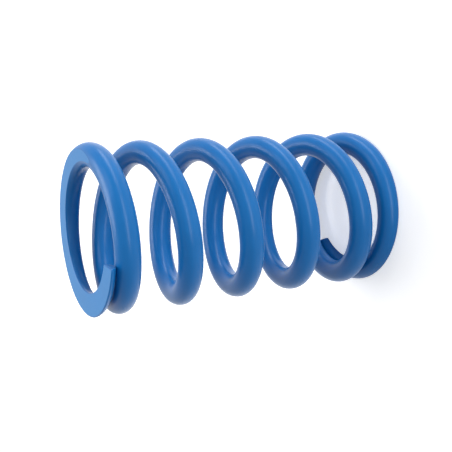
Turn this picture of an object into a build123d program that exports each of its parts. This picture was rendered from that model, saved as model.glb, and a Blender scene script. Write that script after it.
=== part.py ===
from build123d import *

import os
from math import cos, pi, sin

# Helical compression spring in round wire, with closed and ground ends.
#
# Frame: millimetres, +Z along the coil's axis. The origin is the centre of the
# lower ground face, and the wire's lower tip lies on the +X axis. The coil is
# wound right-handed, and its two ends are alike.

# Driving dimensions
wire_diameter = 7.0
mean_diameter = 42.0     # measured to the middle of the wire
free_length = 92.0       # from ground face to ground face
total_turns = 6.3        # from tip to tip
closed_turns = 0.67      # at each end, wound at the closing pitch
opening_turns = 0.69     # then the pitch grows to that of the open coils
tip_thickness = 2.2      # what the grinding leaves of the wire at its tips
tip_gap = 0.2            # between a tip and the coil that it closes onto

points_per_turn = 16     # of the wire's centre line


def ramp_rise(turns):
    """Rise, in turns, of a ramp that goes smoothly from level to one per turn."""
    share = min(max(turns / opening_turns, 0), 1)
    past_ramp = max(turns - opening_turns, 0)
    return opening_turns * (share**3 - share**4 / 2) + past_ramp


# The closing pitch brings the second coil down onto the tip, and the open
# coils share out what is left of the length.
tip_height = tip_thickness - wire_diameter / 2
total_rise = free_length - 2 * tip_height
first_turn_rise = wire_diameter + tip_gap
first_turn_opening = ramp_rise(1 - closed_turns)
open_turns = total_turns - 2 * closed_turns - opening_turns
pitch_step = (total_rise - total_turns * first_turn_rise) / (
    open_turns - total_turns * first_turn_opening
)
closing_pitch = first_turn_rise - pitch_step * first_turn_opening


def wire_height(turn):
    """Height of the wire's centre, a number of turns along from the lower tip."""
    opening = ramp_rise(turn - closed_turns)
    closing = ramp_rise(turn - (total_turns - closed_turns - opening_turns))
    return tip_height + closing_pitch * turn + pitch_step * (opening - closing)


def wire_centre(turn):
    """Point of the wire's centre line, a number of turns along from the lower tip."""
    angle = 2 * pi * turn
    radius = mean_diameter / 2
    return Vector(radius * cos(angle), radius * sin(angle), wire_height(turn))


def tip_direction(turn):
    """Direction of the wire at a tip, where it climbs at the closing pitch."""
    angle = 2 * pi * turn
    way_round = pi * mean_diameter
    return Vector(-way_round * sin(angle), way_round * cos(angle), closing_pitch)


spans = round(total_turns * points_per_turn)
centre_points = [wire_centre(total_turns * i / spans) for i in range(spans + 1)]
tip_directions = [tip_direction(0), tip_direction(total_turns)]

# The wire's round section stands across the lower tip, with its seam on the
# side that faces the coil's axis.
across_tip = Plane(origin=centre_points[0], x_dir=(-1, 0, 0), z_dir=tip_direction(0))

# The wire is coiled in one piece, then both ends are ground flat.
with BuildPart() as spring:
    with BuildLine() as centre_line:
        Spline(*centre_points, tangents=tip_directions, tangent_scalars=(1, 1))
    with BuildSketch(across_tip):
        Circle(wire_diameter / 2)
    sweep(path=centre_line.line, is_frenet=True)
    split(bisect_by=Plane.XY, keep=Keep.TOP)
    split(bisect_by=Plane.XY.offset(free_length), keep=Keep.BOTTOM)

spring.part.label = "spring"

os.makedirs("parts", exist_ok=True)
export_step(spring.part, "parts/spring.step")
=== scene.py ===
from math import acos, cos, pi, radians, sin

import bpy
from mathutils import Matrix, Vector


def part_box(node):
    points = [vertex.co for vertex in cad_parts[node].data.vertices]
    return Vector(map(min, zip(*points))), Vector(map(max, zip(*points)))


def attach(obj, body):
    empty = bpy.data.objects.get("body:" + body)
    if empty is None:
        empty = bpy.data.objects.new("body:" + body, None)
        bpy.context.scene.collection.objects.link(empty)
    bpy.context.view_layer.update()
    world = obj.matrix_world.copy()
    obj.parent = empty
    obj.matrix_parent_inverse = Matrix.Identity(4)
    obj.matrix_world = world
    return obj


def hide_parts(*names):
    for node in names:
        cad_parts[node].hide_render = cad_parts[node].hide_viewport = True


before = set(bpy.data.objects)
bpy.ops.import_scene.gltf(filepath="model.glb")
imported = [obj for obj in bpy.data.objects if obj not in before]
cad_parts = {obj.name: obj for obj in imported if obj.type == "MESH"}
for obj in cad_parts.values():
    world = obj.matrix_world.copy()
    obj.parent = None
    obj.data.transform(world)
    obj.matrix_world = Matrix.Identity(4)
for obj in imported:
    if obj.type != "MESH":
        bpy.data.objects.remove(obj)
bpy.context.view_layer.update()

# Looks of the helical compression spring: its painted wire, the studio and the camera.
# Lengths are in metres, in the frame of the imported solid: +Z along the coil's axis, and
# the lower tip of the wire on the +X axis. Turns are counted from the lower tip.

# ---------------------------------------------------------------- the spring's sizes
lowest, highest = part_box("spring")
free_length = highest.z - lowest.z
outer_radius = (highest.x - lowest.x) / 2

wire_radius = 0.0035
coil_radius = outer_radius - wire_radius    # to the middle of the wire
total_turns = 6.3
closed_turns = 0.67       # at each end, wound at the closing pitch
opening_turns = 0.69      # then the pitch grows to that of the open coils
tip_thickness = 0.0022    # what the grinding leaves of the wire at its tips
tip_gap = 0.0002          # between a tip and the coil that it closes onto

# ---------------------------------------------------------------- the painted tips and edges
edge_radius = 0.00028     # of the paint over a ground or cut edge
cap_inset = 2.2 * edge_radius
lower_tip_turn = -0.008   # the painted tips run on a little past the plain solid's
upper_tip_turn = total_turns + 0.021
tip_slant = 0.28          # how much further a tip runs, for each unit out from its middle
tip_run = 0.0016          # from the middle of a tip's cut face to the first full section

# ---------------------------------------------------------------- mesh density
rings_per_turn = 132
arc_steps = 17            # along each flank of the wire, from one pole to the other
edge_steps = 4            # round a painted edge
pole_angle = radians(11)  # half the sector at each pole of the round wire
flat_shares = (-0.96, -0.8, -0.4, 0.0, 0.4, 0.8, 0.96)    # points across a ground face
flat_margin = 1e-6        # how far off its plane a ground face may lie


# ---------------------------------------------------------------- centre line
def ramp_rise(turns):
    """Rise, in turns, of a ramp that goes smoothly from level to one per turn."""
    share = min(max(turns / opening_turns, 0), 1)
    past_ramp = max(turns - opening_turns, 0)
    return opening_turns * (share**3 - share**4 / 2) + past_ramp


# The closing pitch brings the second coil onto the tip, and the open coils share out
# what is left of the length.
tip_height = tip_thickness - wire_radius
total_rise = free_length - 2 * tip_height
first_turn_rise = 2 * wire_radius + tip_gap
first_turn_opening = ramp_rise(1 - closed_turns)
open_turns = total_turns - 2 * closed_turns - opening_turns
pitch_step = (total_rise - total_turns * first_turn_rise) / (
    open_turns - total_turns * first_turn_opening
)
closing_pitch = first_turn_rise - pitch_step * first_turn_opening
turn_length = 2 * pi * coil_radius


def wire_height(turn):
    """Height of the wire's centre at a turn."""
    opening = ramp_rise(turn - closed_turns)
    closing = ramp_rise(turn - (total_turns - closed_turns - opening_turns))
    return tip_height + closing_pitch * turn + pitch_step * (opening - closing)


def wire_frame(turn):
    """The wire's centre at a turn, and the directions out, up and along from there."""
    angle = 2 * pi * turn
    outward = Vector((cos(angle), sin(angle), 0))
    centre = coil_radius * outward + Vector((0, 0, wire_height(turn)))
    step = 1e-4
    climb = (wire_height(turn + step) - wire_height(turn - step)) / (2 * step)
    along = Vector((-turn_length * sin(angle), turn_length * cos(angle), climb)).normalized()
    return centre, outward, outward.cross(along), along


# ---------------------------------------------------------------- the wire's section
def pole(depth):
    """One pole of the section, with y out through it, and half the sector that it takes.

    The points run from the +x side to the -x side. depth is how far the ground plane
    cuts into the round wire there, and is negative where the wire clears the plane.
    """
    plane = wire_radius - depth
    reach = plane - edge_radius
    inner_radius = wire_radius - edge_radius
    edge_angle = acos(max(-1, min(1, reach / inner_radius)))
    if edge_angle < pole_angle:
        # The flat is too narrow for rounded edges, or there is none.
        last = 2 * (edge_steps + 1) + len(flat_shares) - 1
        points = []
        for i in range(last + 1):
            angle = pole_angle * (1 - 2 * i / last)
            points.append((wire_radius * sin(angle), min(wire_radius * cos(angle), plane)))
        return points, pole_angle
    half_flat = inner_radius * sin(edge_angle)
    corner = []
    for i in range(edge_steps + 1):
        angle = edge_angle * (1 - i / edge_steps)
        corner.append((half_flat + edge_radius * sin(angle), reach + edge_radius * cos(angle)))
    flat = [(-half_flat * share, plane) for share in flat_shares]
    return corner + flat + [(-x, y) for x, y in reversed(corner)], edge_angle


def section(turn):
    """Closed outline of the wire's section: x out from the coil's axis, y up along it."""
    centre, _, up, _ = wire_frame(turn)
    lower, lower_angle = pole(wire_radius - centre.z / up.z)
    upper, upper_angle = pole(wire_radius - (free_length - centre.z) / up.z)
    bottom = [(x, -y) for x, y in reversed(lower)]
    flank = []
    for i in range(1, arc_steps):
        angle = upper_angle + (pi - lower_angle - upper_angle) * i / arc_steps
        flank.append((-wire_radius * sin(angle), wire_radius * cos(angle)))
    return upper + flank + bottom + [(-x, y) for x, y in reversed(flank)]


def placed(turn, outline, slips=None):
    """The outline's points across the wire at a turn, each slipped level along the wire."""
    centre, outward, up, along = wire_frame(turn)
    level = Vector((along.x, along.y, 0)).normalized()
    slips = slips or [0.0] * len(outline)
    return [
        centre + x * outward + y * up + slip * level for (x, y), slip in zip(outline, slips)
    ]


def shrunk(outline, inset):
    """The outline drawn in by inset on every side."""
    xs = [x for x, _ in outline]
    ys = [y for _, y in outline]
    middle = Vector(((min(xs) + max(xs)) / 2, (min(ys) + max(ys)) / 2))
    half = Vector(((max(xs) - min(xs)) / 2, (max(ys) - min(ys)) / 2))
    scale_x = 1 - inset / half.x
    scale_y = 1 - inset / half.y
    return [
        (middle.x + (x - middle.x) * scale_x, middle.y + (y - middle.y) * scale_y)
        for x, y in outline
    ]


def tip_rings(turn, way):
    """Rings from the cap of a tip's slanted cut face, over its rounded edge, to full size.

    way is 1 where the wire goes on in the direction of its turns, and -1 where it comes
    from there.
    """
    outline = section(turn)
    steps = [(cap_inset, 0)]
    for i in range(edge_steps + 1):
        angle = pi / 2 * i / edge_steps
        steps.append((edge_radius * (1 - sin(angle)), edge_radius * (1 - cos(angle))))
    rings = []
    for inset, depth in steps:
        points = shrunk(outline, inset)
        slips = [way * (depth - tip_slant * x) for x, _ in points]
        rings.append(placed(turn, points, slips))
    return rings


# ---------------------------------------------------------------- the wire's mesh
def wire_rings():
    """All rings of the wire, from the cap of the lower tip to that of the upper tip."""
    first = lower_tip_turn + tip_run / turn_length
    last = upper_tip_turn - tip_run / turn_length
    count = round(total_turns * rings_per_turn)
    rings = tip_rings(lower_tip_turn, 1)
    for i in range(count + 1):
        turn = first + (last - first) * i / count
        rings.append(placed(turn, section(turn)))
    return rings + tip_rings(upper_tip_turn, -1)[::-1]


def new_object(name, data):
    """A new object for data, linked into the scene."""
    made = bpy.data.objects.new(name, data)
    bpy.context.scene.collection.objects.link(made)
    return made


def make_wire():
    """The painted wire as one closed mesh, with the ground faces on its second material."""
    rings = wire_rings()
    size = len(rings[0])
    points = [point for ring in rings for point in ring]
    faces = []
    for i in range(len(rings) - 1):
        for j in range(size):
            k = (j + 1) % size
            faces.append((i * size + j, (i + 1) * size + j, (i + 1) * size + k, i * size + k))
    faces.append(tuple(range(size)))
    faces.append(tuple(range(len(points) - size, len(points)))[::-1])
    mesh = bpy.data.meshes.new("painted_wire")
    mesh.from_pydata(points, [], faces)
    for face in mesh.polygons:
        heights = [points[i].z for i in face.vertices]
        ground = max(heights) < flat_margin or min(heights) > free_length - flat_margin
        face.use_smooth = True
        face.material_index = int(ground)
    mesh.validate()
    mesh.update()
    return new_object("painted_wire", mesh)


# ---------------------------------------------------------------- paint
# Scales are in features per metre, and depths are in metres.
paint_ior = 1.5
paint_specular = 0.22
blotch_scale = 90.0       # slow changes of colour and gloss
blotch_range = (0.3, 0.7)
peel_scale = 600.0        # orange peel of the sprayed enamel
peel_strength = 0.035
peel_depth = 0.0001
mark_scales = (40, 2200, 40)    # grinding marks, drawn out along one direction
mark_direction = radians(35)
mark_depth = 0.00005


def node(tree, kind, **values):
    """A new shader node, with attributes and named inputs set."""
    made = tree.nodes.new(kind)
    for name, value in values.items():
        if name in made.inputs:
            made.inputs[name].default_value = value
        else:
            setattr(made, name, value)
    return made


def shader(name):
    """A new material, its node tree and its Principled shader."""
    material = bpy.data.materials.new(name)
    material.use_nodes = True
    return material, material.node_tree, material.node_tree.nodes["Principled BSDF"]


def enamel(name, deep, pale, glossiest, dullest, marks=0.0):
    """Satin enamel: colour from deep to pale, roughness from glossiest to dullest.

    marks is how strongly grinding marks show through.
    """
    material, tree, surface = shader(name)
    link = tree.links.new
    surface.inputs["IOR"].default_value = paint_ior
    surface.inputs["Specular IOR Level"].default_value = paint_specular
    place = node(tree, "ShaderNodeTexCoord").outputs["Object"]

    blotch = node(tree, "ShaderNodeTexNoise", Scale=blotch_scale, Detail=3.0, Roughness=0.55)
    link(place, blotch.inputs["Vector"])
    tint = node(tree, "ShaderNodeValToRGB")
    for stop, position, colour in zip(tint.color_ramp.elements, blotch_range, (deep, pale)):
        stop.position = position
        stop.color = (*colour, 1)
    link(blotch.outputs["Fac"], tint.inputs["Fac"])
    link(tint.outputs["Color"], surface.inputs["Base Color"])

    gloss = node(tree, "ShaderNodeMapRange")
    gloss.inputs["To Min"].default_value = glossiest
    gloss.inputs["To Max"].default_value = dullest
    link(blotch.outputs["Fac"], gloss.inputs["Value"])
    link(gloss.outputs["Result"], surface.inputs["Roughness"])

    peel = node(tree, "ShaderNodeTexNoise", Scale=peel_scale, Detail=2.0)
    link(place, peel.inputs["Vector"])
    bump = node(tree, "ShaderNodeBump", Strength=peel_strength, Distance=peel_depth)
    link(peel.outputs["Fac"], bump.inputs["Height"])
    if marks:
        drawn_out = node(tree, "ShaderNodeMapping")
        drawn_out.inputs["Rotation"].default_value = (0, 0, mark_direction)
        drawn_out.inputs["Scale"].default_value = mark_scales
        link(place, drawn_out.inputs["Vector"])
        scratches = node(tree, "ShaderNodeTexNoise", Scale=1.0, Detail=3.0)
        link(drawn_out.outputs["Vector"], scratches.inputs["Vector"])
        over_peel = node(tree, "ShaderNodeBump", Strength=marks, Distance=mark_depth)
        link(scratches.outputs["Fac"], over_peel.inputs["Height"])
        link(bump.outputs["Normal"], over_peel.inputs["Normal"])
        bump = over_peel
    link(bump.outputs["Normal"], surface.inputs["Normal"])
    return material


# ---------------------------------------------------------------- studio
white = (1, 1, 1, 1)
floor_half = 3.0          # half the floor's side
floor_gap = 5e-5          # keeps the floor clear of the lower ground face
floor_colour = (0.86, 0.86, 0.86, 1)
floor_roughness = 0.9
floor_lift = 0.5          # what the floor gains where it is seen, to look white
world_light = 0.34        # strength of the surroundings as light
world_seen = 1.0          # and where they are seen
lamp_distance = 0.8       # from the middle of the spring
lamps = (
    # name, azimuth and elevation in degrees, width, height, power in watts
    ("key", 225, 55, 0.4, 0.4, 1.1),
    ("end_light", 300, 62, 0.5, 0.5, 4.4),
    ("front_box", 150, 2, 1.0, 0.12, 3.3),
    ("side_box", 225, 2, 1.0, 0.12, 3.3),
)

camera_azimuth = radians(144.98)
camera_elevation = radians(27.09)
camera_roll = radians(-95.63)
camera_distance = 0.23097
camera_aim = Vector((0.00152, 0.00217, 0.04736))
camera_lens = 60.1        # millimetres, as is the sensor
camera_sensor = 36


def seen(tree):
    """1 for rays that show a surface itself: straight, mirrored or through glass."""
    ray = node(tree, "ShaderNodeLightPath")
    shows = ray.outputs["Is Camera Ray"]
    for way in ("Is Glossy Ray", "Is Transmission Ray"):
        either = node(tree, "ShaderNodeMath", operation="MAXIMUM")
        tree.links.new(shows, either.inputs[0])
        tree.links.new(ray.outputs[way], either.inputs[1])
        shows = either.outputs["Value"]
    return shows


def floor_material():
    """Pale floor that keeps the shadow and is white where it is seen."""
    material, tree, surface = shader("pale_floor")
    surface.inputs["Base Color"].default_value = floor_colour
    surface.inputs["Roughness"].default_value = floor_roughness
    surface.inputs["Emission Color"].default_value = white
    lift = node(tree, "ShaderNodeMath", operation="MULTIPLY")
    lift.inputs[1].default_value = floor_lift
    tree.links.new(seen(tree), lift.inputs[0])
    tree.links.new(lift.outputs["Value"], surface.inputs["Emission Strength"])
    return material


def make_floor():
    """A wide plain floor under the spring."""
    level = lowest.z - floor_gap
    corners = [
        (x * floor_half, y * floor_half, level) for x, y in ((-1, -1), (1, -1), (1, 1), (-1, 1))
    ]
    mesh = bpy.data.meshes.new("floor")
    mesh.from_pydata(corners, [], [(0, 1, 2, 3)])
    floor = new_object("floor", mesh)
    mesh.materials.append(floor_material())


def make_world():
    """White surroundings: full strength where they are seen, gentle as light."""
    world = bpy.data.worlds.new("studio")
    bpy.context.scene.world = world
    world.use_nodes = True
    tree = world.node_tree
    shade = node(tree, "ShaderNodeMix", data_type="FLOAT")
    shade.inputs["A"].default_value = world_light
    shade.inputs["B"].default_value = world_seen
    tree.links.new(seen(tree), shade.inputs["Factor"])
    back = tree.nodes["Background"]
    back.inputs["Color"].default_value = white
    tree.links.new(shade.outputs["Result"], back.inputs["Strength"])


def direction(azimuth, elevation):
    """Unit vector from the spring towards an azimuth and elevation."""
    level = cos(elevation)
    return Vector((level * cos(azimuth), level * sin(azimuth), sin(elevation)))


def soft_box(name, azimuth, elevation, width, height, power):
    """A rectangular lamp that looks at the middle of the spring."""
    light = bpy.data.lights.new(name, "AREA")
    light.shape = "RECTANGLE"
    light.size = width
    light.size_y = height
    light.energy = power
    lamp = new_object(name, light)
    away = direction(radians(azimuth), radians(elevation))
    lamp.location = Vector((0, 0, free_length / 2)) + away * lamp_distance
    lamp.rotation_euler = (-away).to_track_quat("-Z", "Y").to_euler()


def make_camera():
    """The camera looks down on the spring, rolled so that the spring lies across the view."""
    away = direction(camera_azimuth, camera_elevation)
    level = (-away).to_track_quat("-Z", "Y").to_matrix()
    rolled = level @ Matrix.Rotation(camera_roll, 3, "Z")
    camera = new_object("camera", bpy.data.cameras.new("camera"))
    place = Matrix.Translation(camera_aim + away * camera_distance)
    camera.matrix_world = place @ rolled.to_4x4()
    camera.data.sensor_width = camera_sensor
    camera.data.lens = camera_lens
    camera.data.clip_start = 0.01
    camera.data.clip_end = 20
    bpy.context.scene.camera = camera


# ---------------------------------------------------------------- the scene
wire = make_wire()
wire.data.materials.append(
    enamel(
        "blue_enamel",
        deep=(0.004, 0.129, 0.390),
        pale=(0.006, 0.141, 0.420),
        glossiest=0.28,
        dullest=0.33,
    )
)
# Second material, for the ground faces: its paler blue is painted light, standing in for the
# top light and sheen that the flats catch; its duller gloss and faint grinding marks are the
# faces' own.
wire.data.materials.append(
    enamel(
        "ground_enamel_painted_light",
        deep=(0.020, 0.195, 0.50),
        pale=(0.026, 0.215, 0.54),
        glossiest=0.36,
        dullest=0.46,
        marks=0.2,
    )
)
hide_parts("spring")
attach(wire, "root")

make_floor()
make_world()
for lamp in lamps:
    soft_box(*lamp)
make_camera()
bpy.context.scene.view_settings.view_transform = "Standard"
